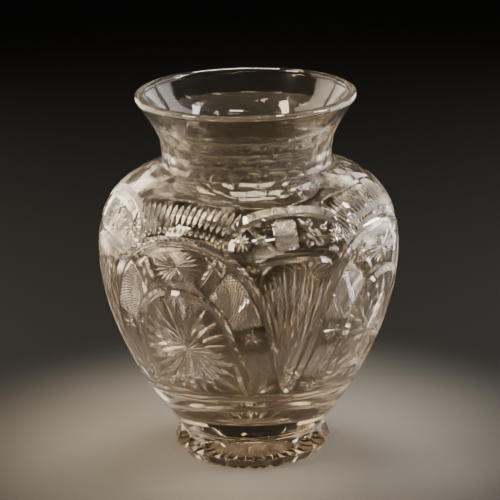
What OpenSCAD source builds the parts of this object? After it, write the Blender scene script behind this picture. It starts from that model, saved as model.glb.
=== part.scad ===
// Footed cut crystal vase. Millimetres, +Z up, origin under the middle of the foot.
// The vase is three pieces of lead crystal joined hot: the blown and cut vessel, a thin
// wafer under its heel, and a cut foot. Each piece is its own node.

/* [Overall] */
// Height from the table to the top of the lip
total_h = 305; // [250:1:370]
// Widest diameter, across the belly
belly_d = 246; // [205:1:296]

/* [Vessel] */
// Height from the belly's widest circle to the root of the neck
shoulder_h = 71; // [60:1:84]
// Diameter of the bowl's heel, where it meets the wafer
heel_d = 128; // [110:1:140]
// Slope of the bowl's side as it leaves the heel, in degrees from level
heel_slope = 53; // [45:1:60]
// Glass thickness of the belly and the neck
wall = 8; // [6:0.5:9.5]
// Glass thickness under the middle of the cavity
base_t = 15; // [10:0.5:20]

/* [Neck] */
// Height from the root of the neck to the top of the lip
neck_h = 58; // [50:1:70]
// Outside diameter of the neck at its root
neck_d = 139; // [115:1:167]
// Outside diameter of the lip
rim_d = 180; // [172:1:216]
// Thickness of the rounded lip
lip_t = 7.5; // [6:0.25:9]

/* [Neck facets] */
// Facets in one row around the neck
facets_per_row = 20; // [16:1:24]
// Rows of facets
facet_rows = 3; // [2:1:3]
// Height of one facet
facet_h = 13; // [11:0.5:15]
// How deep a facet is cut
facet_depth = 1.2; // [0.8:0.1:1.6]

/* [Base line] */
// Height of the cut line around the lower bowl, above the heel
line_rise = 38; // [34:1:44]
// Width of the cut line
line_w = 5; // [4:0.5:7]
// Depth of the cut line
line_depth = 1.6; // [1:0.1:2]

/* [Wafer] */
// Thickness of the wafer
wafer_h = 7.5; // [6:0.5:9]
// How far the wafer's two beads stand out
bead = 0.9; // [0.6:0.1:1.2]

/* [Foot] */
// Height of the foot
foot_h = 23; // [19:0.5:28]
// Widest diameter of the foot
foot_d = 130; // [124:1:156]
// Diameter of the foot where it meets the wafer
joint_d = 117; // [97:1:122]
// Diameter of the ring that the foot rests on
rest_d = 110; // [96:1:118]
// Number of hollow flutes around the foot
flutes = 20; // [18:1:24]
// How deep a flute is cut
flute_depth = 2.2; // [1.5:0.1:3]
// Diameter of the round hollow ground under the foot
hollow_d = 56; // [40:1:66]
// Depth of that hollow
hollow_depth = 3; // [2:0.5:5]
// Depth of the rays under the foot, at its edge
ray_depth = 2.5; // [1.5:0.25:3.5]

/* [Hidden] */
$fn = 96;
heel_z = foot_h + wafer_h;
neck_z = total_h - neck_h;
belly_z = neck_z - shoulder_h;
lip_z = total_h - lip_t / 2;
floor_z = heel_z + base_t;
// the throat, the narrowest place inside, lies a little above the neck's root
throat_rise = 5;
throat_z = neck_z + throat_rise;
// segments of the lower, upper and neck curves, and of the lip
steps_low = 14;
steps_up = 12;
steps_neck = 8;
steps_lip = 6;
steps_foot = 10;
// length of each curve's end handles, as a share of the curve's height
low_pull = 0.35;
up_pull = 0.70;
shoulder_pull = 0.46;
neck_pull = 0.50;
flare_pull = 0.42;
// the same for the inside: throat to lip, throat to belly at both ends, belly downwards
in_flare_pull = 0.50;
in_throat_pull = 0.46;
in_belly_pull = 0.66;
in_low_pull = 0.50;
// slopes of the outside at the shoulder's top and under the lip, in degrees from level
shoulder_slope = 24;
flare_slope = 59;
// height of the lowest row of facets above the neck's root, in facets
first_row = 0.9;
// handles of the foot's side: in from and out past its widest circle, and their heights
// as shares of the foot
foot_tuck = 1;
foot_swell = 5;
foot_lift = 0.06;
foot_turn = 0.62;
// height of the foot's waist line, where its flutes are deepest, as a share of the foot
flute_waist = 0.45;
// radius of the flat middle of the cavity's floor
floor_r = 30;
// room that a cutting shape has beyond the glass
clear = 1;
// narrow uncut edge that the foot's flutes leave at the joint and at the table
land = 0.6;

// Points of a cubic Bezier curve from a to d, without its last point
function curve(a, b, c, d, n) = [for (i = [0:n - 1]) let (t = i / n, u = 1 - t)
    u * u * u * a + 3 * u * u * t * b + 3 * u * t * t * c + t * t * t * d];

// The point at distance len from p in direction ang, in degrees from level
function step(p, len, ang) = p + len * [cos(ang), sin(ang)];

// The outside, from the heel up to the lip. Every point is a radius and a height.
heel_p = [heel_d / 2, heel_z];
belly_p = [belly_d / 2, belly_z];
neck_p = [neck_d / 2, neck_z];
rim_p = [rim_d / 2, lip_z];
low_h = belly_z - heel_z;
out_low = curve(heel_p, step(heel_p, low_pull * low_h, heel_slope),
                belly_p - [0, low_pull * low_h], belly_p, steps_low);
out_up = curve(belly_p, belly_p + [0, up_pull * shoulder_h],
               step(neck_p, shoulder_pull * shoulder_h, -shoulder_slope), neck_p, steps_up);
out_neck = curve(neck_p, neck_p + [0, neck_pull * neck_h],
                 step(rim_p, -flare_pull * neck_h, flare_slope), rim_p, steps_neck);

// The lip is half a circle from the outside over the top to the inside
lip = [for (i = [0:steps_lip]) step([rim_d / 2 - lip_t / 2, lip_z], lip_t / 2, 180 * i / steps_lip)];

// The inside, from the lip down to the middle of the floor
in_rim_p = [rim_d / 2 - lip_t, lip_z];
throat_p = [neck_d / 2 - wall, throat_z];
in_belly_p = [belly_d / 2 - wall, belly_z];
floor_p = [floor_r, floor_z];
in_neck_h = lip_z - throat_z;
in_up_h = throat_z - belly_z;
in_low_h = belly_z - floor_z;
in_neck = curve(in_rim_p, step(in_rim_p, -in_flare_pull * in_neck_h, flare_slope),
                throat_p + [0, in_flare_pull * in_neck_h], throat_p, steps_neck);
in_up = curve(throat_p, throat_p - [0, in_throat_pull * in_up_h],
              in_belly_p + [0, in_belly_pull * in_up_h], in_belly_p, steps_up);
// the floor turns up into the side as far in from the outside's own turn as the base and
// the wall together are thick, so the glass stays thick there at every width
floor_turn_p = [step(heel_p, low_pull * low_h, heel_slope)[0] - base_t - wall, floor_z];
in_low = curve(in_belly_p, in_belly_p - [0, in_low_pull * in_low_h], floor_turn_p, floor_p, steps_low);

// Radius of the outside at height z, read from a list of rising profile points
function radius_at(z, p) = lookup(z, [for (q = p) [q[1], q[0]]]);

// Blown vessel: bowl, shoulder, neck and lip in one wall, with its deep cuts
module vessel() {
    color([0.78, 0.74, 0.68, 0.55])
    difference() {
        vessel_blank();
        base_line();
        neck_facets();
    }
}

module vessel_blank() {
    in_neck_rest = [for (i = [1:steps_neck - 1]) in_neck[i]];
    rotate_extrude()
        polygon(concat([[0, heel_z]], out_low, out_up, out_neck, lip,
                       in_neck_rest, in_up, in_low, [floor_p, [0, floor_z]]));
}

// One mitred line around the lower bowl, at right angles to its side
module base_line() {
    line_z = heel_z + line_rise;
    line_r = radius_at(line_z, concat(out_low, [belly_p]));
    tilt = atan2(radius_at(line_z + 1, concat(out_low, [belly_p])) - line_r, 1);
    rotate_extrude()
        translate([line_r, line_z])
        rotate(-tilt)
        polygon([[-line_depth, 0], [clear, -line_w / 2], [clear, line_w / 2]]);
}

// Rows of round hollow facets around the neck, each row turned half a facet from the last.
// A facet is the mark of a ball-ended stone. The lowest row keeps clear of the shoulder.
module neck_facets() {
    neck_line = concat(out_neck, [rim_p]);
    stone_r = facet_h * facet_h / (8 * facet_depth) + facet_depth / 2;
    for (row = [0:facet_rows - 1]) {
        z = neck_z + facet_h * (row + first_row);
        r = radius_at(z, neck_line);
        rise = radius_at(z + facet_h / 4, neck_line) - radius_at(z - facet_h / 4, neck_line);
        for (k = [0:facets_per_row - 1])
            rotate(360 * (k + row / 2) / facets_per_row)
            translate([r, 0, z])
            rotate([0, atan2(rise, facet_h / 2), 0])
            translate([stone_r - facet_depth, 0, 0])
            sphere(r = stone_r);
    }
}

// Wafer of glass that joins the bowl to the foot, with two round beads on its edge
module wafer() {
    bead_h = wafer_h / 2;
    bead_r = (bead_h * bead_h / 4 + bead * bead) / (2 * bead);
    half = asin(bead_h / 2 / bead_r);
    slope = (heel_d - joint_d) / 2 / wafer_h;
    waist_r = joint_d / 2 - bead;
    color([0.86, 0.78, 0.66, 0.6])
    rotate_extrude()
        polygon(concat([[0, foot_h], [waist_r, foot_h]],
            [for (i = [0:1]) for (k = [1:steps_lip])
                let (a = -half + 2 * half * k / steps_lip, z = bead_h * (i + 0.5) + bead_r * sin(a))
                [waist_r + slope * z + bead_r * (cos(a) - cos(half)), foot_h + z]],
            [[0, heel_z]]));
}

// Foot: a thick disc with a bulging side, hollow flutes round it and a rayed underside
module foot() {
    color([0.84, 0.72, 0.58, 0.6])
    difference() {
        foot_blank();
        foot_flutes();
        foot_rays();
        foot_hollow();
    }
}

// The side bulges from the resting ring out to foot_d and in again to the joint
module foot_blank() {
    side = curve([rest_d / 2, 0], [foot_d / 2 - foot_tuck, foot_lift * foot_h],
                 [foot_d / 2 + foot_swell, foot_turn * foot_h], [joint_d / 2, foot_h], steps_foot);
    rotate_extrude()
        polygon(concat([[0, 0]], side, [[joint_d / 2, foot_h], [0, foot_h]]));
}

// Each flute is two cuts of a round stone. One leans in to the joint and one leans in
// to the table, so the flute follows the bulge and dies out at both edges.
module foot_flutes() {
    half_w = PI * foot_d / flutes / 2;
    stone_r = 1 / (2 * flute_depth / (half_w * half_w) - 2 / foot_d);
    waist = [foot_d / 2 - flute_depth, flute_waist * foot_h];
    up = atan2(waist[0] - joint_d / 2 - land, foot_h - waist[1]);
    down = atan2(waist[0] - rest_d / 2 - land, waist[1]);
    for (k = [0:flutes - 1])
        rotate(360 * (k + 0.5) / flutes)
        translate([waist[0], 0, waist[1]]) {
            rotate([0, -up, 0])
                translate([stone_r, 0, -foot_h / 4])
                cylinder(r = stone_r, h = foot_h);
            rotate([0, down, 0])
                translate([stone_r, 0, -3 * foot_h / 4])
                cylinder(r = stone_r, h = foot_h);
        }
}

// Two square mitred rays to each flute, from beside the hollow out to the edge
module foot_rays() {
    rays = 2 * flutes;
    ray_in = hollow_d / 2 - 4;
    fall = atan2(ray_depth, foot_d / 2 - ray_in);
    half_w = ray_depth + clear;
    for (k = [0:rays - 1])
        rotate(360 * (k + 0.5) / rays)
        translate([ray_in, 0, -half_w])
        rotate([0, 90 - fall, 0])
        cylinder(r = half_w, h = foot_d / 2, $fn = 4);
}

// Shallow round hollow ground out of the middle of the underside
module foot_hollow() {
    stone_r = (hollow_d * hollow_d / 4 + hollow_depth * hollow_depth) / (2 * hollow_depth);
    translate([0, 0, hollow_depth - stone_r])
        sphere(r = stone_r);
}

vessel();
wafer();
foot();
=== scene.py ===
import bpy
import numpy as np
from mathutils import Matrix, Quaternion, Vector
from mathutils.geometry import delaunay_2d_cdt


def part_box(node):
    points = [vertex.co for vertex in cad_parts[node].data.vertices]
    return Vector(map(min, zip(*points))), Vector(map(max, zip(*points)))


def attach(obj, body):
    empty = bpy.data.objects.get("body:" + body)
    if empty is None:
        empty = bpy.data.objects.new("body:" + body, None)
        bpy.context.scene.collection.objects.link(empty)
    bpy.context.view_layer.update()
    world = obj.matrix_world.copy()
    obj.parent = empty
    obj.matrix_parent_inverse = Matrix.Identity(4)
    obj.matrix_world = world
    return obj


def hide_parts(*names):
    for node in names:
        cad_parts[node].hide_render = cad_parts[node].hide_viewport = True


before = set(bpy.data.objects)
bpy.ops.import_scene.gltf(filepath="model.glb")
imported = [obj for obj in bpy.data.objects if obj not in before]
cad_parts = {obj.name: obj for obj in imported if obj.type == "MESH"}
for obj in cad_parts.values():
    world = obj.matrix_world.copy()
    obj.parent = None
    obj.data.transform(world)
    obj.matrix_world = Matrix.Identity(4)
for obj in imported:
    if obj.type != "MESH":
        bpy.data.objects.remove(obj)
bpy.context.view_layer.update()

# THE BLOWN BLANK
# One gather of lead crystal, blown and turned into an urn before any cutting: heel,
# bowl, shoulder, neck and flared lip. All sizes are in millimetres until a mesh is made.
MM = 0.001
heel_low, lip_high = (np.array(c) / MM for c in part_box("vessel"))
heel_z, top_z, belly_r = heel_low[2], lip_high[2], lip_high[0]
heel_r, neck_r, rim_r, lip_t, wall = 64.0, 69.5, 90.0, 7.5, 8.0
neck_z, belly_z, lip_z = top_z - 58.0, top_z - 129.0, top_z - lip_t / 2
QUARTER = np.pi / 2
COLUMNS = 60


def bezier(a, b, c, d, n):
    """Cubic curve from a to d pulled towards b and c. The weights of the four points are
    (1-t)**3, 3(1-t)**2 t, 3(1-t) t**2 and t**3."""
    t = np.linspace(0, 1, n)[:, None]
    return (1 - t) ** 3 * a + 3 * (1 - t) ** 2 * t * b + 3 * (1 - t) * t * t * c + t**3 * d


def towards(p, length, degrees):
    """The point at a distance from p, in a direction measured from level."""
    return np.array(p) + length * np.array([np.cos(np.radians(degrees)), np.sin(np.radians(degrees))])


heel, belly = np.array([heel_r, heel_z]), np.array([belly_r, belly_z])
neck, rim = np.array([neck_r, neck_z]), np.array([rim_r, lip_z])
low_pull = 0.35 * (belly_z - heel_z)
outside = np.vstack([
    bezier(heel, towards(heel, low_pull, 53), belly - [0, low_pull], belly, 400)[:-1],
    bezier(belly, belly + [0, 50], towards(neck, 32.7, -24), neck, 400),
    bezier(neck, neck + [0, 29], towards(rim, -24.4, 59), rim, 400)[1:],
])
# the tape runs up the outside from the foot's joint; the wafer takes the first 9.2 mm
tape = 9.2 + np.concatenate([[0], np.cumsum(np.hypot(*np.diff(outside, axis=0).T))])
NECK_ROOT = tape[798]
RIM_TAPE = tape[-1]
tangent = np.gradient(outside, axis=0)
tangent[798] = tangent[799]
tangent /= np.hypot(*tangent.T)[:, None]


def radius(s):
    """Radius of the blank at tape height s."""
    return np.interp(s, tape, outside[:, 0])


def surface(angle, s, depth):
    """A point of the vessel: the blank at that angle and tape height, sunk by depth along
    the outward normal, which is the profile's tangent turned by a right angle."""
    out = np.interp(s, tape, tangent[:, 1])
    down = -np.interp(s, tape, tangent[:, 0])
    r = radius(s) - depth * out
    z = np.interp(s, tape, outside[:, 1]) - depth * down
    return np.stack([r * np.sin(angle), -r * np.cos(angle), z], -1)


# THE CUTTING
# All decoration is cut into the blank with V-edged wheels. A cut is a line on the glass
# with a width to each side of its deepest line. The glass left is the blank less the
# deepest of all cuts there, and every edge, ridge and deepest line becomes mesh edges.
REF_R = 110.0
cuts, hollows, hatches, lines, spots = [], [], [], [], []


def to_plane(at, p):
    """Millimetres across and up from the centre line at angle at, as drawing-plane points."""
    p = np.asarray(p, float)
    return np.stack([(at + p[:, 0] / radius(p[:, 1])) * REF_R, p[:, 1]], -1)


def resample(p, step):
    """The same line with points an even step apart."""
    p = np.asarray(p, float)
    d = np.concatenate([[0], np.cumsum(np.hypot(*np.diff(p, axis=0).T))])
    t = np.linspace(0, d[-1], max(2, int(np.ceil(d[-1] / step)) + 1))
    return np.stack([np.interp(t, d, p[:, 0]), np.interp(t, d, p[:, 1])], -1)


def across(p):
    """Unit vectors square to a line, to its left."""
    t = np.gradient(p, axis=0)
    t /= np.hypot(*t.T)[:, None]
    return np.stack([-t[:, 1], t[:, 0]], -1)


def draw(at, p):
    lines.append(to_plane(at, p))


def mitre(at, p, left, right, depth, taper="both", step=4.0, edges=True):
    """A V cut along p. The widths and the depth swell and fade along it as a wheel plunges
    and leaves: 1 - |2t-1|**3 for both ends, and its halves for one end."""
    p = resample(p, step)
    t = np.linspace(0, 1, len(p))
    fade = {"both": 1 - np.abs(2 * t - 1) ** 3, "end": 1 - t**4, "start": 1 - (1 - t) ** 4,
            "lens": 1 - (2 * t - 1) ** 2, "none": np.ones_like(t)}[taper]
    cuts.append((at, p, left * fade, right * fade, depth * fade))
    n = across(p)
    draw(at, p)
    if edges:
        draw(at, p + n * (left * fade)[:, None])
        draw(at, p - n * (right * fade)[:, None])


def burst(at, centre, angles, reach, width, depth, start=0.0, step=4.0, power=4, closed=False):
    """Mitres that cross at one point. Each is deepest at the centre and dies out at its
    reach as 1 - (distance/reach)**power. Between two rays runs a ridge where their depths
    are equal, out to where the ridge reaches the surface; from there each has its edges."""
    centre = np.array(centre, float)
    reach = np.broadcast_to(reach, (len(angles),)).astype(float)

    def swell(i, d):
        return 1 - np.clip(d / reach[i], 0, 1) ** power

    def polar(d, a):
        return centre + np.stack([d * np.sin(a), d * np.cos(a)], -1)

    for i, a in enumerate(angles):
        d = np.linspace(start, reach[i], max(3, int(np.ceil((reach[i] - start) / step)) + 1))
        p = polar(d, a)
        f = swell(i, d)
        cuts.append((at, p, width * f, width * f, depth * f))
        draw(at, p)
    pairs = [(i, i + 1) for i in range(len(angles) - 1)] + ([(len(angles) - 1, 0)] if closed else [])
    slope = depth / width
    for i, j in pairs:
        gap = (angles[j] - angles[i]) % (2 * np.pi)
        fine = np.linspace(max(start, 0.02), min(reach[i], reach[j]), 400)
        di, dj = depth * swell(i, fine), depth * swell(j, fine)
        lean = gap / 2 + (di - dj) / (2 * slope * fine)
        ridge = di - slope * fine * np.sin(np.clip(lean, 0, gap))
        out = np.argmax(ridge <= 0) if (ridge <= 0).any() else len(fine) - 1
        n = max(2, int(np.ceil(fine[out] / step)) + 1)
        pick = np.unique(np.linspace(0, out, n).astype(int))
        line = polar(fine[pick], angles[i] + np.clip(lean[pick], 0, gap))
        draw(at, np.vstack([centre, line]) if start == 0 else line)
        for k, side, turn in ((i, 1, 0), (j, -1, gap)):
            far = np.linspace(fine[out], reach[k], max(2, int(np.ceil((reach[k] - fine[out]) / step)) + 1))
            w = width * swell(k, far)
            edge = polar(far, angles[i] + turn + side * np.arcsin(np.clip(w / far, 0, 1)))
            edge[0] = line[-1]
            draw(at, edge)
    if not closed:
        for k, side in ((0, -1), (len(angles) - 1, 1)):
            far = np.linspace(max(start, 2), reach[k], max(2, int(np.ceil(reach[k] / step)) + 1))
            w = width * swell(k, far)
            draw(at, polar(far, angles[k] + side * np.arcsin(np.clip(w / far, 0, 1))))


def hatch(at, side0, side1, pitch, depth, ribs=False):
    """A panel of fine crossed cuts between two lines: a square lattice whose points are
    alternately crossings, at full depth, and tips, at the surface. With ribs the cuts
    run one way only, from side0 to side1."""
    long = max(np.hypot(*np.diff(q, axis=0).T).sum() for q in (side0, side1))
    high = np.hypot(*(np.array(side0) - side1).T).mean()
    n = 2 * int(round(long / pitch / 2))
    m = 2 * int(round(high / (4 * pitch if ribs else pitch) / 2))
    u = np.linspace(0, 1, n + 1)
    a, b = (np.stack([np.interp(u, np.linspace(0, 1, len(q)), np.array(q)[:, k]) for k in (0, 1)], -1)
            for q in (side0, side1))
    v = np.linspace(0, 1, m + 1)[:, None, None]
    grid = a * (1 - v) + b * v
    j, i = np.meshgrid(np.arange(m + 1), np.arange(n + 1), indexing="ij")
    deep = (i % 2 == 1) if ribs else ((i + j) % 2 == 1)
    rim = (i == 0) | (i == n) | (j == 0) | (j == m)
    hatches.append((to_plane(at, grid.reshape(-1, 2)), np.where(deep & ~rim, depth, 0.0).ravel(), m, n, ribs))


def hollow(at, centre, wide, high, depth, rings=(0.4, 0.75, 1.0), around=12, above=0.0):
    """A round-bottomed cut of a convex stone: depth falls with the square of the distance.
    It stops at the tape height above."""
    hollows.append((at, np.array(centre, float), wide, high, depth, above))
    turn = np.linspace(0, 2 * np.pi, around + 1)
    for k in rings:
        draw(at, np.array(centre) + k * np.stack([wide * np.cos(turn), high * np.sin(turn)], -1))
    spots.append(to_plane(at, [centre]))


def cut_depth(angle, s):
    """Depth of the deepest cut at each point. On a mitre it falls evenly from the deepest
    line to the edge; a point's place on the line comes from its nearest point there."""
    depth = np.zeros_like(s)
    r = radius(s)
    for at, p, left, right, deep in cuts:
        q = np.stack([(angle - at) * r, s], -1)
        pad = max(left.max(), right.max())
        near = np.flatnonzero(((q > p.min(0) - pad) & (q < p.max(0) + pad)).all(1))
        if not len(near):
            continue
        a, ab = p[:-1], np.diff(p, axis=0)
        d = q[near, None] - a
        t = np.clip((d * ab).sum(-1) / (ab**2).sum(-1), 0, 1)
        off = d - t[..., None] * ab
        gap = np.hypot(off[..., 0], off[..., 1])
        on_left = ab[:, 0] * d[..., 1] - ab[:, 1] * d[..., 0] > 0
        width = np.where(on_left, left[:-1] * (1 - t) + left[1:] * t, right[:-1] * (1 - t) + right[1:] * t)
        here = (deep[:-1] * (1 - t) + deep[1:] * t) * (1 - gap / np.maximum(width, 1e-6))
        depth[near] = np.maximum(depth[near], here.max(1))
    for at, c, wide, high, deep, above in hollows:
        x = (angle - at) * r - c[0]
        bowl = deep * (1 - (x / wide) ** 2 - ((s - c[1]) / high) ** 2)
        depth = np.maximum(depth, np.where(s > above, bowl, 0))
    return depth


def arch(a, centre, b, power, t0=0, t1=180, n=61):
    """Part of an arch: a superellipse of half-width a and rise b over its centre height."""
    t = np.radians(np.linspace(t0, t1, n))
    x = a * np.sign(np.cos(t)) * np.abs(np.cos(t)) ** (2 / power)
    return np.stack([x, centre + b * np.abs(np.sin(t)) ** (2 / power)], -1)


def reach_to(centre, angles, outline):
    """How far each ray from the centre runs before it meets the outline."""
    a, ab = outline[:-1] - centre, np.diff(outline, axis=0)
    far = []
    for t in angles:
        u = np.array([np.sin(t), np.cos(t)])
        det = ab[:, 0] * u[1] - ab[:, 1] * u[0] + 1e-12
        d = (ab[:, 0] * a[:, 1] - ab[:, 1] * a[:, 0]) / det
        k = (u[0] * a[:, 1] - u[1] * a[:, 0]) / det
        far.append(d[(k >= 0) & (k <= 1) & (d > 0)].min())
    return np.array(far)


# THE PATTERN, A QUARTER AT A TIME
# Four stars and four fans stand side by side round the bowl, a fan's middle an eighth of
# a turn from a star's. Two lines turn round the bowl below them.
FAN, STARS = 0.0, (-QUARTER / 2, QUARTER / 2)
BASE_LINE, FOOT_LINE = 55.0, 64.5
for height, half, deep in ((BASE_LINE, 3.0, 1.7), (FOOT_LINE, 1.1, 0.8)):
    edge = 0.9 * radius(height)
    mitre(FAN, [(-edge, height), (edge, height)], half, half, deep, "none")

# small arch, great arch: half-width, centre height, rise, roundness and width of band
SMALL, GREAT = (45.5, 108.0, 58.0, 2.3), (78.5, 118.0, 89.0, 2.2)
SMALL_BAND, GREAT_BAND = 6.4, 7.6


def inset(shape, by):
    a, centre, b, power = shape
    return (a - by, centre, b - by, power)


def arched(shape, by, foot):
    """The whole arch, set in by a distance, with a straight leg down to foot at each end."""
    p = arch(*inset(shape, by))
    return np.vstack([[p[0, 0], foot], p, [p[-1, 0], foot]])


for at in STARS:
    mitre(at, arched(SMALL, SMALL_BAND / 2, 66)[::-1], SMALL_BAND / 2, SMALL_BAND / 2, 2.2, "none")
    mitre(at, arched(GREAT, GREAT_BAND / 2, 69)[::-1], GREAT_BAND / 2, GREAT_BAND / 2, 2.4, "none")

    # star of long rays that fills the small arch
    rays = np.radians(np.arange(24) * 15)
    star = np.array([0, 108.0])
    frame_in = arched(SMALL, SMALL_BAND + 0.8, 67)
    frame_in = np.vstack([frame_in, frame_in[:1]])
    burst(at, star, rays, reach_to(star, rays, frame_in), 4.1, 2.7, power=4, closed=True)

    # rosette over the small arch
    rays = np.radians(np.arange(28) * 360 / 28)
    reach = 1 / np.hypot(np.sin(rays) / 23.0, np.cos(rays) / 14.0)
    burst(at, (0, 182.5), rays, reach, 1.5, 1.2, step=5, power=3, closed=True)

    for side in (-1, 1):
        flip = np.array([side, 1])
        # bright slips between the rosette and the hatching
        mitre(at, flip * [(20, 168), (34, 193)], 2.3, 2.3, 1.7)
        mitre(at, flip * [(38, 178), (24, 194)], 1.8, 1.8, 1.4)
        # crossed hatching between the arches
        low = arch(*inset(SMALL, -1.5), 20, 58, 41) * flip
        high = arch(*inset(GREAT, GREAT_BAND + 1.5), 12, 52, 41) * flip
        hatch(at, low, high, 1.65, 0.75)
        # small star where the hatching ends
        rays = np.radians(np.arange(8) * 45 + 10)
        burst(at, flip * (58, 124), rays, [10, 8] * 4, 1.7, 1.4, step=3, power=3, closed=True)
        # upright ribbing between the arches' legs
        low, high = (flip * resample([(48.5, y), (68.5, y)], 1) for y in (80, 112))
        hatch(at, low, high, 1.3, 0.8, ribs=True)
        # leaves at the foot of the arches
        mitre(at, flip * [(51, 66.5), (56, 79)], 1.7, 1.7, 1.4)
        mitre(at, flip * [(51, 66.5), (68, 76)], 1.7, 1.7, 1.4)

    # prism ribs over the great arch, two rows, fanning out
    for k in np.arange(-8, 9):
        x = 4.7 * k
        base = 118 + 89 * (1 - abs(x / 78.5) ** 2.2) ** (1 / 2.2)
        mitre(at, [(x, base + 1.4), (1.06 * x, base + 7.4)], 1.9, 1.9, 1.4, step=3)
        top = 235.5 - 5.5 * (k / 8) ** 2
        mitre(at, [(1.08 * x, base + 9.0), (1.18 * x, top)], 2.2, 2.2, 1.7, step=4)

    # crescent under the shoulder
    mitre(at, arch(46, 230, 12.5, 2.0, 6, 174)[::-1], 8.5, 4.0, 1.4, "lens")

# fan of long blades, with short ones between their tips
blades = np.radians(np.linspace(-13.6, 13.6, 7))
root = np.array([0, 69.0])
burst(FAN, root, blades, 117 - 60 * np.abs(blades) ** 1.2, 2.3, 2.3, power=7)
for a in (blades[1:] + blades[:-1]) / 2:
    u = np.array([np.sin(a), np.cos(a)])
    mitre(FAN, [root + 80 * u, root + (114 - 60 * abs(a) ** 1.2) * u], 1.2, 1.2, 1.0)
# cap over the fan and the arch over that
CAP, HIGH_ARCH = (37.0, 180.0, 15.0, 2.0), (57.0, 196.0, 39.0, 2.0)
mitre(FAN, arch(*inset(CAP, 4.0), 4, 176)[::-1], 4.0, 4.0, 2.3)
mitre(FAN, arch(*inset(HIGH_ARCH, 5.0), 6, 174)[::-1], 5.0, 5.0, 2.4, "none")
# lens between them: kite, hatching, slanted mitre with three thumbprints, end rosettes
burst(FAN, (-25, 207), np.radians([-38, 52, 142, 232]), [15, 6, 13, 6], 2.4, 1.8, power=3, closed=True)
x = np.linspace(-14, 5, 21)
low = np.stack([x, 180 + 15 * np.sqrt(1 - (x / 37) ** 2) + 2.0], -1)
high = np.stack([x, 196 + 29 * np.sqrt(1 - (x / 47) ** 2) - 3.0], -1)
hatch(FAN, low, high, 1.65, 0.75)
mitre(FAN, [(7, 223), (26, 197)], 2.0, 2.0, 1.6)
for spot in ((16.5, 217), (28, 211.5), (14.5, 200.5)):
    hollow(FAN, spot, 3.0, 3.0, 1.5, around=16)
for x in (-40, 39):
    rays = np.radians(np.arange(12) * 30)
    burst(FAN, (x, 205), rays, 8.0, 1.3, 1.0, step=3, power=3, closed=True)

# rows of hollow facets round the neck, like a honeycomb. Where two facets are equally deep
# a ridge stands: upright between neighbours of a row, a zigzag between one row and the next
CELL_TURN, CELL_HIGH, CELL_W, CELL_H = np.radians(18), 12.6, 13.0 / 70, 9.0
half_turn = (CELL_TURN / 2 / CELL_W) ** 2
peak = CELL_HIGH / 2 + CELL_H**2 / (2 * CELL_HIGH) * half_turn
for row in range(3):
    s = NECK_ROOT + 6.5 + CELL_HIGH * row
    r = radius(s)
    for k in np.arange(-3, 4) + (row % 2) / 2:
        hollow(k * CELL_TURN, (0, s), CELL_W * r, CELL_H, 1.7, rings=(0.35, 0.65), around=14,
               above=NECK_ROOT)
        side = [(CELL_TURN / 2 * r, s + y) for y in np.linspace(peak - CELL_HIGH, CELL_HIGH - peak, 4)]
        draw(k * CELL_TURN, side)
        turn = np.radians(np.linspace(-35, 35, 9))
        if row != 1:
            sign = row - 1
            draw(k * CELL_TURN, [(CELL_W * r * np.sin(t), s + sign * CELL_H * np.cos(t)) for t in turn])
        if row < 2:
            zigzag = [(-CELL_TURN / 2, CELL_HIGH - peak), (0, peak), (CELL_TURN / 2, CELL_HIGH - peak)]
            draw(k * CELL_TURN, resample([(a * r, s + y) for a, y in zigzag], 3))
for low in (0, 0.5):
    draw(FAN, [(x, NECK_ROOT - low) for x in np.linspace(-60, 60, 41)])

# THE CUT VESSEL
# The drawing of a quarter becomes a mesh whose edges follow every line, and each point is
# sunk by the cut there. Four of them make the outside, and the lip, the plain inside, the
# floor and the heel's flat joint close it.
SIDE = QUARTER / 2 * REF_R
points, own, edges = [], [], []


def put(p, depth=0.0):
    """Adds points to the drawing, and returns the number of the first of them."""
    first = len(points)
    points.extend(p.tolist())
    own.extend(np.broadcast_to(depth, len(p)).tolist())
    return first


def chain(first, n):
    edges.extend((first + i, first + i + 1) for i in range(n - 1))


for p in lines:
    near_side = np.abs(np.abs(p[:, 0]) - SIDE) < 0.05
    p[near_side, 0] = np.sign(p[near_side, 0]) * SIDE
    if (np.abs(p[:, 0]) < SIDE + 3).any():
        chain(put(p), len(p))
for p in spots:
    if abs(p[0, 0]) < SIDE + 3:
        put(p)
for p, depth, m, n, ribs in hatches:
    if np.abs(p[:, 0]).min() > SIDE:
        continue
    number = put(p, depth) + np.arange((m + 1) * (n + 1)).reshape(m + 1, n + 1)
    for row in (number[0], number[-1], number[:, 0], number[:, -1]):
        edges.extend(zip(row[:-1].tolist(), row[1:].tolist()))
    if ribs:
        edges.extend(zip(number[:-1].ravel().tolist(), number[1:].ravel().tolist()))
    else:
        j, i = np.meshgrid(np.arange(m), np.arange(n), indexing="ij")
        odd = (i + j) % 2 == 1
        edges.extend(zip(number[j, i][odd].tolist(), number[j + 1, i + 1][odd].tolist()))
        edges.extend(zip(number[j + 1, i][~odd].tolist(), number[j, i + 1][~odd].tolist()))

# the quarter's four sides, and points over the plain glass that keep clear of every line
ring = np.linspace(-SIDE, SIDE, COLUMNS + 1)
drawn = np.array(points)
for s in (tape[0], RIM_TAPE):
    chain(put(np.stack([ring, np.full_like(ring, s)], -1)), len(ring))
up = np.linspace(tape[0], RIM_TAPE, 67)
for x in (-SIDE, SIDE):
    chain(put(np.stack([np.full_like(up, x), up], -1)), len(up))
x, s = np.meshgrid(ring[2:-2:2], up[1:-1])
x += (ring[1] - ring[0]) * (np.arange(len(s)) % 2)[:, None] * 0.9
plain = np.stack([x.ravel(), s.ravel()], -1)
put(plain[[np.hypot(*(drawn - p).T).min() > 2.6 for p in plain]])

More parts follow.
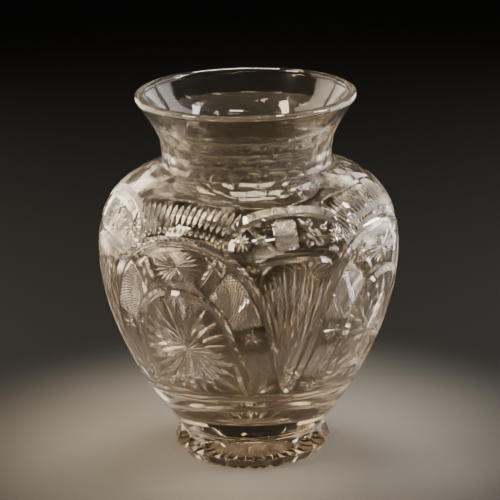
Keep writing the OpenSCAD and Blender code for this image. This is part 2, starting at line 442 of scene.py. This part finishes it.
flat, _, triangles, came_from, _, _ = delaunay_2d_cdt(points, edges, [], 0, 0.02)
flat = np.array([tuple(p) for p in flat])
triangles = np.array(triangles)
middle = flat[triangles].mean(1)
inside = (np.abs(middle[:, 0]) < SIDE) & (middle[:, 1] > tape[0]) & (middle[:, 1] < RIM_TAPE)
triangles = triangles[inside]
a, b, c = (flat[triangles[:, i]] for i in range(3))
turned = np.cross(b - a, c - a) < 0
triangles[turned] = triangles[turned][:, ::-1]
used, triangles = np.unique(triangles, return_inverse=True)
triangles = triangles.reshape(-1, 3)
flat, given = flat[used], np.array([max([own[i] for i in came_from[v]], default=0.0) for v in used])
angle, s = flat[:, 0] / REF_R, flat[:, 1]
sunk = np.maximum(np.maximum(cut_depth(angle, s), given), 0)
sunk[(s < tape[0] + 0.01) | (s > RIM_TAPE - 0.01)] = 0

left, right = (np.flatnonzero(np.abs(flat[:, 0] - x) < 1e-4) for x in (-SIDE, SIDE))
left, right = left[np.argsort(s[left])], right[np.argsort(s[right])]
count = len(flat)
mine = np.setdiff1d(np.arange(count), right)
number = np.zeros((4, count), int)
for k in range(4):
    number[k, mine] = k * len(mine) + np.arange(len(mine))
for k in range(4):
    number[k, right] = number[(k + 1) % 4, left]
PHASE = np.radians(17)
shell = np.concatenate([surface(angle[mine] + k * QUARTER + PHASE, s[mine], sunk[mine]) for k in range(4)])
kind = np.where(given > 0, 2.0, np.where(sunk > 0.02, 1.0, 0.0))
kinds = np.tile(kind[triangles].max(1), 4)
skin = np.concatenate([number[k][triangles] for k in range(4)])


def edge_ring(height):
    """The numbers of the outside's points at one tape height, all the way round."""
    row = mine[np.abs(s[mine] - height) < 1e-3]
    row = row[np.argsort(angle[row])]
    return np.concatenate([number[k][row] for k in range(4)])


def spun(profile, turns):
    """Each profile point, a radius and a height, turned round the axis to every angle."""
    r, z = np.array(profile, float).T[..., None]
    return np.stack([r * np.sin(turns), -r * np.cos(turns), z + 0 * turns], -1)


def band(rows):
    """Four-sided faces between each row of point numbers and the next, round the axis."""
    a, b = rows[:-1], rows[1:]
    return np.stack([a, np.roll(a, -1, 1), np.roll(b, -1, 1), b], -1).reshape(-1, 4)


def lathe(points, ring, profile, turns, pole=None, down=False):
    """Joins rows made from a profile to a ring of points, and ends in a pole if one is
    given. Returns all the points and the new faces; down turns the faces over."""
    rows = spun(profile, turns)
    index = np.vstack([ring, len(points) + np.arange(rows.shape[0] * len(turns)).reshape(-1, len(turns))])
    points = np.vstack([points, rows.reshape(-1, 3)])
    faces = band(index).tolist()
    if pole is not None:
        points = np.vstack([points, [[0, 0, pole]]])
        last = index[-1]
        faces += [[a, b, len(points) - 1] for a, b in zip(last.tolist(), np.roll(last, -1).tolist())]
    return points, [f[::-1] for f in faces] if down else faces


def piece(name, points, groups, sharp, materials):
    """A mesh object from points in millimetres and groups of (faces, slot, cut), where cut
    says how each face was worked: 0 fire-polished, 1 cut and polished, 2 hatched."""
    mesh = bpy.data.meshes.new(name)
    mesh.from_pydata((points * MM).tolist(), [], [f for faces, _, _ in groups for f in faces])
    mesh.polygons.foreach_set("material_index", np.concatenate([np.full(len(f), m) for f, m, _ in groups]))
    worked = mesh.attributes.new("worked", "FLOAT", "FACE")
    worked.data.foreach_set("value", np.concatenate([np.broadcast_to(w, len(f)) for f, _, w in groups]))
    mesh.shade_smooth()
    mesh.set_sharp_from_angle(angle=np.radians(sharp))
    for m in materials:
        mesh.materials.append(m)
    mesh.validate()
    obj = bpy.data.objects.new(name, mesh)
    bpy.context.collection.objects.link(obj)
    return obj


def crystal(name, tint, straw, tough, skin=0.012):
    """Lead crystal. The glass bends light by its index. Its tint wanders between two faint
    colours, its fire-polished skin has slow waves, and a cut is a little less bright than
    the skin, a hatched panel less still. Below 0.11 m a painted shade darkens its colour
    towards the bottom. Light on its way to the floor passes tinted."""
    m = bpy.data.materials.new(name)
    m.use_nodes = True
    nodes, link = m.node_tree.nodes, m.node_tree.links.new
    nodes.clear()
    where = nodes.new("ShaderNodeTexCoord")
    cloud = nodes.new("ShaderNodeTexNoise")
    cloud.inputs["Scale"].default_value = 9
    cloud.inputs["Detail"].default_value = 2
    link(where.outputs["Object"], cloud.inputs["Vector"])
    hue = nodes.new("ShaderNodeMix")
    hue.data_type = "RGBA"
    hue.inputs[6].default_value = (*tint, 1)
    hue.inputs[7].default_value = (*straw, 1)
    link(cloud.outputs["Fac"], hue.inputs[0])
    # painted shade: from 0.11 m down to 0.035 m the colour darkens smoothly towards a deep brown, so the
    # lower bowl darkens towards the bottom, and the wafer and foot, lower still, take the deep brown whole
    height = nodes.new("ShaderNodeSeparateXYZ")
    link(where.outputs["Object"], height.inputs["Vector"])
    low_shade_ramp = nodes.new("ShaderNodeMapRange")
    low_shade_ramp.interpolation_type = "SMOOTHSTEP"
    low_shade_ramp.inputs["From Min"].default_value = 0.11
    low_shade_ramp.inputs["From Max"].default_value = 0.035
    link(height.outputs["Z"], low_shade_ramp.inputs["Value"])
    low_shade_mix = nodes.new("ShaderNodeMix")
    low_shade_mix.data_type = "RGBA"
    low_shade_mix.inputs[7].default_value = (0.36, 0.295, 0.225, 1)
    link(low_shade_ramp.outputs["Result"], low_shade_mix.inputs[0])
    link(hue.outputs[2], low_shade_mix.inputs[6])
    wave = nodes.new("ShaderNodeTexNoise")
    wave.inputs["Scale"].default_value = 38
    wave.inputs["Detail"].default_value = 3
    link(where.outputs["Object"], wave.inputs["Vector"])
    bump = nodes.new("ShaderNodeBump")
    bump.inputs["Strength"].default_value = 0.35
    bump.inputs["Distance"].default_value = 0.0006
    link(wave.outputs["Fac"], bump.inputs["Height"])
    worked = nodes.new("ShaderNodeAttribute")
    worked.attribute_name = "worked"
    rough = nodes.new("ShaderNodeMapRange")
    rough.inputs["From Max"].default_value = 3
    rough.inputs["To Min"].default_value = skin
    rough.inputs["To Max"].default_value = tough
    link(worked.outputs["Fac"], rough.inputs["Value"])
    clarity = nodes.new("ShaderNodeMapRange")
    clarity.inputs["From Max"].default_value = 3
    clarity.inputs["To Min"].default_value = 0.988
    clarity.inputs["To Max"].default_value = 0.76
    link(worked.outputs["Fac"], clarity.inputs["Value"])
    body = nodes.new("ShaderNodeBsdfPrincipled")
    body.inputs["IOR"].default_value = 1.54
    link(clarity.outputs["Result"], body.inputs["Transmission Weight"])
    link(low_shade_mix.outputs[2], body.inputs["Base Color"])
    link(rough.outputs["Result"], body.inputs["Roughness"])
    link(bump.outputs["Normal"], body.inputs["Normal"])
    ray = nodes.new("ShaderNodeLightPath")
    clear = nodes.new("ShaderNodeBsdfTransparent")
    clear.inputs["Color"].default_value = (0.62, 0.60, 0.57, 1)
    mix = nodes.new("ShaderNodeMixShader")
    link(ray.outputs["Is Shadow Ray"], mix.inputs[0])
    link(body.outputs[0], mix.inputs[1])
    link(clear.outputs[0], mix.inputs[2])
    out = nodes.new("ShaderNodeOutputMaterial")
    link(mix.outputs[0], out.inputs["Surface"])
    return m


# where two pieces of hot glass were pressed together there is no skin left to bend light
joint = bpy.data.materials.new("hot_joint")
joint.use_nodes = True
joint.node_tree.nodes.clear()
through = joint.node_tree.nodes.new("ShaderNodeBsdfTransparent")
out = joint.node_tree.nodes.new("ShaderNodeOutputMaterial")
joint.node_tree.links.new(through.outputs[0], out.inputs["Surface"])

turns = PHASE - QUARTER / 2 + np.arange(4 * COLUMNS) * QUARTER / COLUMNS
turn = np.radians(np.linspace(0, 180, 15))[1:]
flat_top = [np.sign(w) * np.abs(w) ** 0.62 for w in (np.cos(turn), np.sin(turn).clip(0))]
lip = np.stack([rim_r - lip_t / 2 + lip_t / 2 * flat_top[0], lip_z + lip_t / 2 * flat_top[1]], -1)
throat = np.array([neck_r - wall, neck_z + 5])
in_rim, in_belly = np.array([rim_r - lip_t, lip_z]), np.array([belly_r - wall, belly_z])
floor = np.array([30.0, heel_z + 15])
up_by, down_by = throat[1] - belly_z, belly_z - floor[1]
flare = (lip_z - throat[1]) / 2
inner = np.vstack([
    bezier(in_rim, towards(in_rim, -flare, 59), throat + [0, flare], throat, 16)[1:],
    bezier(throat, throat - [0, 0.46 * up_by], in_belly + [0, 0.66 * up_by], in_belly, 24)[1:],
    bezier(in_belly, in_belly - [0, 0.5 * down_by], np.array([71.6, floor[1]]), floor, 44)[1:],
    [[22, floor[1]], [14, floor[1]], [6, floor[1]]],
])
shell, inward = lathe(shell, edge_ring(RIM_TAPE), np.vstack([lip, inner]), turns, pole=floor[1])
heel_disc = [(r, heel_z) for r in (48, 32, 16)]
shell, under = lathe(shell, edge_ring(tape[0]), heel_disc, turns, pole=heel_z, down=True)
# the inside has a faint even haze, so what shows through it is soft
bowl_glass = crystal("bowl_crystal", (0.61, 0.57, 0.53), (0.62, 0.57, 0.49), 0.05)
hazed_glass = crystal("hazed_crystal", (0.61, 0.57, 0.53), (0.62, 0.57, 0.49), 0.09, skin=0.09)
top_lip = 14 * 4 * COLUMNS
groups = [(skin.tolist(), 0, kinds), (inward[:top_lip], 0, 0.0), (inward[top_lip:], 2, 0.0), (under, 1, 0.0)]
vessel = piece("vessel_glass", shell, groups, 11, [bowl_glass, joint, hazed_glass])
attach(vessel, "root")
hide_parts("vessel")

# THE WAFER
# A flat disc of hot glass dropped between bowl and foot. Its edge squeezed out in two
# beads; its flat faces are fused to both neighbours.
wafer_low, wafer_high = (np.array(c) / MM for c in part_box("wafer"))
bead, bead_h = 0.9, (wafer_high[2] - wafer_low[2]) / 2
foot_top, joint_r = wafer_low[2], 58.5
bead_r = (bead_h**2 / 4 + bead**2) / (2 * bead)
half = np.arcsin(bead_h / 2 / bead_r)
edge = []
for i in range(2):
    for a in np.linspace(-half, half, 9)[(1 if i else 0):]:
        z = bead_h * (i + 0.5) + bead_r * np.sin(a)
        r = joint_r - bead + (heel_r - joint_r) / (2 * bead_h) * z + bead_r * (np.cos(a) - np.cos(half))
        edge.append((r, foot_top + z))
start = spun(edge[:1], turns).reshape(-1, 3)
first = np.arange(len(turns))
disc, rim_faces = lathe(start, first, edge[1:], turns)
last = len(disc) - len(turns) + first
disc, top_faces = lathe(disc, last, [(r, edge[-1][1]) for r in (42, 22)], turns, pole=edge[-1][1])
disc, low_faces = lathe(disc, first, [(r, foot_top) for r in (42, 22)], turns, pole=foot_top, down=True)
wafer_glass = crystal("wafer_crystal", (0.56, 0.47, 0.37), (0.58, 0.48, 0.35), 0.1)
groups = [(rim_faces, 0, 0.0), (top_faces, 1, 0.0), (low_faces, 1, 0.0)]
wafer = piece("wafer_glass", disc, groups, 40, [wafer_glass, joint])
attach(wafer, "root")
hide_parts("wafer")

# THE FOOT
# A thick disc with a bulging side of 20 shallow flutes. A star of 20 long and 20 short
# mitred rays cuts its underside, shows through the glass and notches the edge into teeth.
FLUTES, RAYS, SHARE = 20, 40, 8
FOOT_TURN = np.radians(-3.5)
pitch = 2 * np.pi / RAYS
bulge = bezier(np.array([55.0, 0]), np.array([64.0, 1.38]), np.array([70.0, 14.26]),
               np.array([joint_r, foot_top]), 300)
waist_r, waist_z, land = 63.4, 0.45 * foot_top, 0.6
column = np.arange(RAYS * SHARE)
share = (column % SHARE - SHARE // 2) / (SHARE // 2)
ray_at = FOOT_TURN + (column // SHARE) * pitch


def ray_depth(r):
    """Depth of a ray at its middle: it grows evenly from nothing at its start to the edge.
    A long ray starts at 24 mm and a short one at 42 mm."""
    far = column // SHARE % 2 == 0
    return np.where(far, 4.0 * np.clip((r - 24) / 24, 0, 1), 2.6 * np.clip((r - 42) / 12, 0, 1))


def column_angle(r):
    """The columns crowd to each ray, so that one always lies on its edge: half of a ray's
    columns share its cut, whose half-width is its depth, and half share the tooth."""
    e = np.maximum(ray_depth(r) / r, 0.1 * pitch)
    f = np.abs(share)
    return ray_at + np.sign(share) * np.where(f < 0.5, e * f / 0.5, e + (pitch / 2 - e) * (f - 0.5) / 0.5)


def notch(r):
    """Height of the underside at each column: the ray's cut or, near the middle, the hollow."""
    cut = ray_depth(r) * (1 - np.clip(np.abs(share) / 0.5, 0, 1))
    ball = 132.2 - np.sqrt(132.2**2 - np.minimum(r, 28) ** 2)
    return np.maximum(cut, np.where(r < 28, 3 - ball, 0))


def side_radius(a, z):
    """The bulge less the flute: a round stone whose deepest line leans in from the waist to
    a narrow land at the joint and at the table; the cut falls with the distance squared."""
    blank = np.interp(z, bulge[:, 1], bulge[:, 0])
    line = np.interp(z, [0, waist_z, foot_top], [55 + land, waist_r, joint_r + land])
    from_middle = (a - FOOT_TURN + np.pi / FLUTES) % (2 * np.pi / FLUTES) - np.pi / FLUTES
    x = (np.pi / FLUTES - np.abs(from_middle)) * blank
    return blank - np.maximum(blank - line - 0.0154 * x**2, 0)


r = np.full(len(column), 58.0)
for _ in range(40):
    a = column_angle(r)
    r = 0.5 * (r + side_radius(a, notch(r)))
base_z = notch(r)
base_a = column_angle(r)
rows = []
for v in np.linspace(0, 1, 27):
    z = base_z + (foot_top - base_z) * v
    radius_here = side_radius(base_a, z)
    rows.append(np.stack([radius_here * np.sin(base_a), -radius_here * np.cos(base_a), z], -1))
base_r = np.hypot(rows[0][:, 0], rows[0][:, 1])
ring_r = [base_r + (28 - base_r) * v for v in np.linspace(0, 1, 10)[1:]]
ring_r += [np.full_like(base_r, k) for k in (24, 18, 12, 6)]
index = np.arange(len(column) * len(rows)).reshape(len(rows), -1)
foot_points = np.concatenate(rows)
side_faces = band(index).tolist()
foot_disc = [(r, foot_top) for r in (44, 30, 15)]
foot_points, top_faces = lathe(foot_points, index[-1], foot_disc, base_a, pole=foot_top)
sole = []
for rr in ring_r:
    a = column_angle(rr)
    sole.append(np.stack([rr * np.sin(a), -rr * np.cos(a), notch(rr)], -1))
index = np.vstack([index[0], len(foot_points) + np.arange(len(sole) * len(column)).reshape(len(sole), -1)])
foot_points = np.vstack([foot_points, *sole, [[0, 0, 3.0]]])
sole_faces = [f[::-1] for f in band(index).tolist()]
middle = len(foot_points) - 1
sole_faces += [[b, a, middle] for a, b in zip(index[-1].tolist(), np.roll(index[-1], -1).tolist())]
foot_glass = crystal("foot_crystal", (0.60, 0.49, 0.38), (0.62, 0.50, 0.36), 0.1)
groups = [(side_faces, 0, 0.5), (top_faces, 1, 0.0), (sole_faces, 0, 3.0)]
foot = piece("foot_glass", foot_points, groups, 14, [foot_glass, joint])
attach(foot, "root")
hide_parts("foot")

# THE TABLE AND THE LIGHT
# A matt table top in a dark room, with a painted pool of light: its colour is mid-grey under
# the vase and fades to near-black away from it. Warm soft lights stand to the left, cooler
# ones to the right, and one above and behind puts light in at the mouth.
bpy.ops.mesh.primitive_plane_add(size=14, location=(0, 0, 0))
ground = bpy.context.object
ground.name = "floor"
matt = bpy.data.materials.new("matt_floor")
matt.use_nodes = True
nodes, link = matt.node_tree.nodes, matt.node_tree.links.new
paint = nodes["Principled BSDF"]
paint.inputs["Roughness"].default_value = 0.8
paint.inputs["Specular IOR Level"].default_value = 0.2
where = nodes.new("ShaderNodeTexCoord")
away = nodes.new("ShaderNodeVectorMath")
away.operation = "LENGTH"
link(where.outputs["Object"], away.inputs[0])
# painted light: the floor's colour is a pool of light, mid-grey out to 5 cm from the middle and fading to
# near-black at 34 cm
fall = nodes.new("ShaderNodeMapRange")
fall.interpolation_type = "SMOOTHERSTEP"
fall.inputs["From Min"].default_value = 0.05
fall.inputs["From Max"].default_value = 0.34
link(away.outputs["Value"], fall.inputs["Value"])
painted_light_pool = nodes.new("ShaderNodeMix")
painted_light_pool.data_type = "RGBA"
painted_light_pool.inputs[6].default_value = (0.19, 0.182, 0.17, 1)
painted_light_pool.inputs[7].default_value = (0.012, 0.012, 0.012, 1)
link(fall.outputs["Result"], painted_light_pool.inputs[0])
link(painted_light_pool.outputs[2], paint.inputs["Base Color"])
ground.data.materials.append(matt)


def soft_light(name, place, aim, wide, high, power, colour):
    lamp = bpy.data.lights.new(name, "AREA")
    lamp.shape, lamp.size, lamp.size_y = "RECTANGLE", wide, high
    lamp.energy, lamp.color = power, colour
    obj = bpy.data.objects.new(name, lamp)
    obj.location = place
    obj.rotation_euler = (Vector(aim) - Vector(place)).to_track_quat("-Z", "Y").to_euler()
    obj.visible_camera = False
    bpy.context.collection.objects.link(obj)


soft_light("left_light", (-1.15, -0.55, 0.95), (0, 0, 0.17), 0.3, 0.85, 20, (1.0, 0.85, 0.66))
soft_light("left_wall", (-0.75, 0.25, 0.42), (0, 0, 0.2), 0.7, 0.7, 5, (1.0, 0.88, 0.72))
soft_light("left_back", (-0.85, 1.2, 0.35), (0, 0, 0.2), 0.6, 0.8, 5, (1.0, 0.90, 0.76))
soft_light("right_light", (1.25, -0.15, 0.7), (0, 0, 0.17), 0.25, 0.9, 15, (0.90, 0.92, 0.96))
soft_light("right_wall", (0.8, 0.3, 0.42), (0, 0, 0.2), 0.6, 0.7, 4, (0.97, 0.93, 0.90))
soft_light("right_back", (0.85, 1.2, 0.35), (0, 0, 0.2), 0.6, 0.8, 4, (1.0, 0.94, 0.88))
soft_light("front_strip", (0.35, -1.3, 1.1), (0, 0, 0.17), 0.5, 0.08, 5, (1.0, 0.95, 0.86))
soft_light("top_light", (0.05, 0.5, 1.25), (0, 0, 0.2), 0.45, 0.3, 13, (1.0, 0.94, 0.78))
world = bpy.data.worlds.new("studio")
world.use_nodes = True
world.node_tree.nodes["Background"].inputs["Color"].default_value = (0.012, 0.0115, 0.011, 1)
bpy.context.scene.world = world

# THE CAMERA
lens = bpy.data.cameras.new("camera")
lens.sensor_width, lens.lens = 36, 199.4
lens.shift_x, lens.shift_y = 0.0016, 0.041
lens.clip_start = 0.05
camera = bpy.data.objects.new("camera", lens)
tilt = np.radians(17.0)
aim = Vector((0, 0, 0.1532))
camera.location = aim + 2.282 * Vector((0, -np.cos(tilt), np.sin(tilt)))
look = (aim - camera.location).to_track_quat("-Z", "Y")
camera.rotation_euler = (look @ Quaternion((0, 0, 1), np.radians(-1.2))).to_euler()
bpy.context.collection.objects.link(camera)
bpy.context.scene.camera = camera
bpy.context.scene.view_settings.look = "AgX - Medium High Contrast"
cycles = bpy.context.scene.cycles
cycles.max_bounces, cycles.transmission_bounces, cycles.glossy_bounces = 28, 28, 12
cycles.transparent_max_bounces = 32
